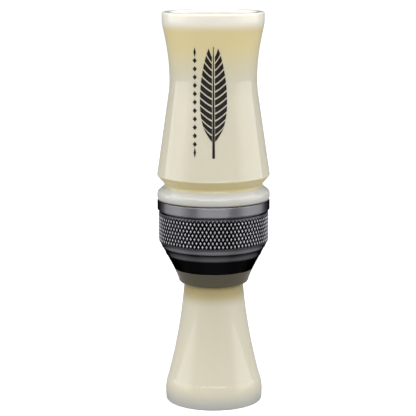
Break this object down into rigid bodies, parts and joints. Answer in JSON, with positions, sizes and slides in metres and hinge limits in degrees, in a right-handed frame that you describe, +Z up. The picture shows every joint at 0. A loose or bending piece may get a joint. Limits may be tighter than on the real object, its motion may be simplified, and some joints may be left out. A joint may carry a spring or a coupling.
{
  "type": "goose call",
  "caption": "Mouth-blown short-reed goose call: a dished barrel with a lanyard groove and knurled band, over a flared insert that holds the reed and tone board.",
  "frame": {"origin": "centre of the flat foot, on the call's own axis", "axes": "+Z up along the call's axis, from the exhaust bell to the mouth; -Y is the side that the reed and its deck face"},
  "size_m": [0.0366, 0.0366, 0.127],
  "materials": {
    "ivory_acrylic": "polished cast acrylic, slightly translucent",
    "dark_aluminium": "dark anodised, turned and knurled",
    "taupe_ring": "satin",
    "seal_rubber": "greased O-ring rubber",
    "guts_plastic": "moulded, satin",
    "reed_film": "frosted polyester film",
    "wedge_plastic": "moulded, matt"
  },
  "bodies": {
    "insert": {"insert": "ivory_acrylic"},
    "seal_rings": {"insert_o_ring_lower": "seal_rubber", "insert_o_ring_upper": "seal_rubber"},
    "barrel": {"barrel": "ivory_acrylic", "band": "dark_aluminium", "end_ring": "taupe_ring"},
    "guts": {"guts": "guts_plastic", "guts_o_ring_lower": "seal_rubber", "guts_o_ring_upper": "seal_rubber"},
    "wedge": {"wedge": "wedge_plastic"},
    "reed": {"reed": "reed_film"}
  },
  "joints": [
    {"name": "barrel_twist", "type": "hinge", "parent": "insert", "child": "seal_rings", "pos_m": [0, 0, 0.0505], "axis": [0, 0, 1], "continuous": true},
    {"name": "barrel_pull", "type": "slide", "parent": "seal_rings", "child": "barrel", "axis": [0, 0, 1], "range_m": [0, 0.065]},
    {"name": "guts_pull", "type": "slide", "parent": "insert", "child": "guts", "axis": [0, 0, 1], "range_m": [0, 0.026]},
    {"name": "wedge_pull", "type": "slide", "parent": "guts", "child": "wedge", "axis": [0, 0, 1], "range_m": [0, 0.012]},
    {"name": "reed_flex", "type": "hinge", "parent": "guts", "child": "reed", "pos_m": [0, -0.0007, 0.0776], "axis": [-1, 0, 0], "range_deg": [-1.4, 1.4], "stiffness_Nm_per_rad": 0.015, "deforming": ["reed"]}
  ]
}
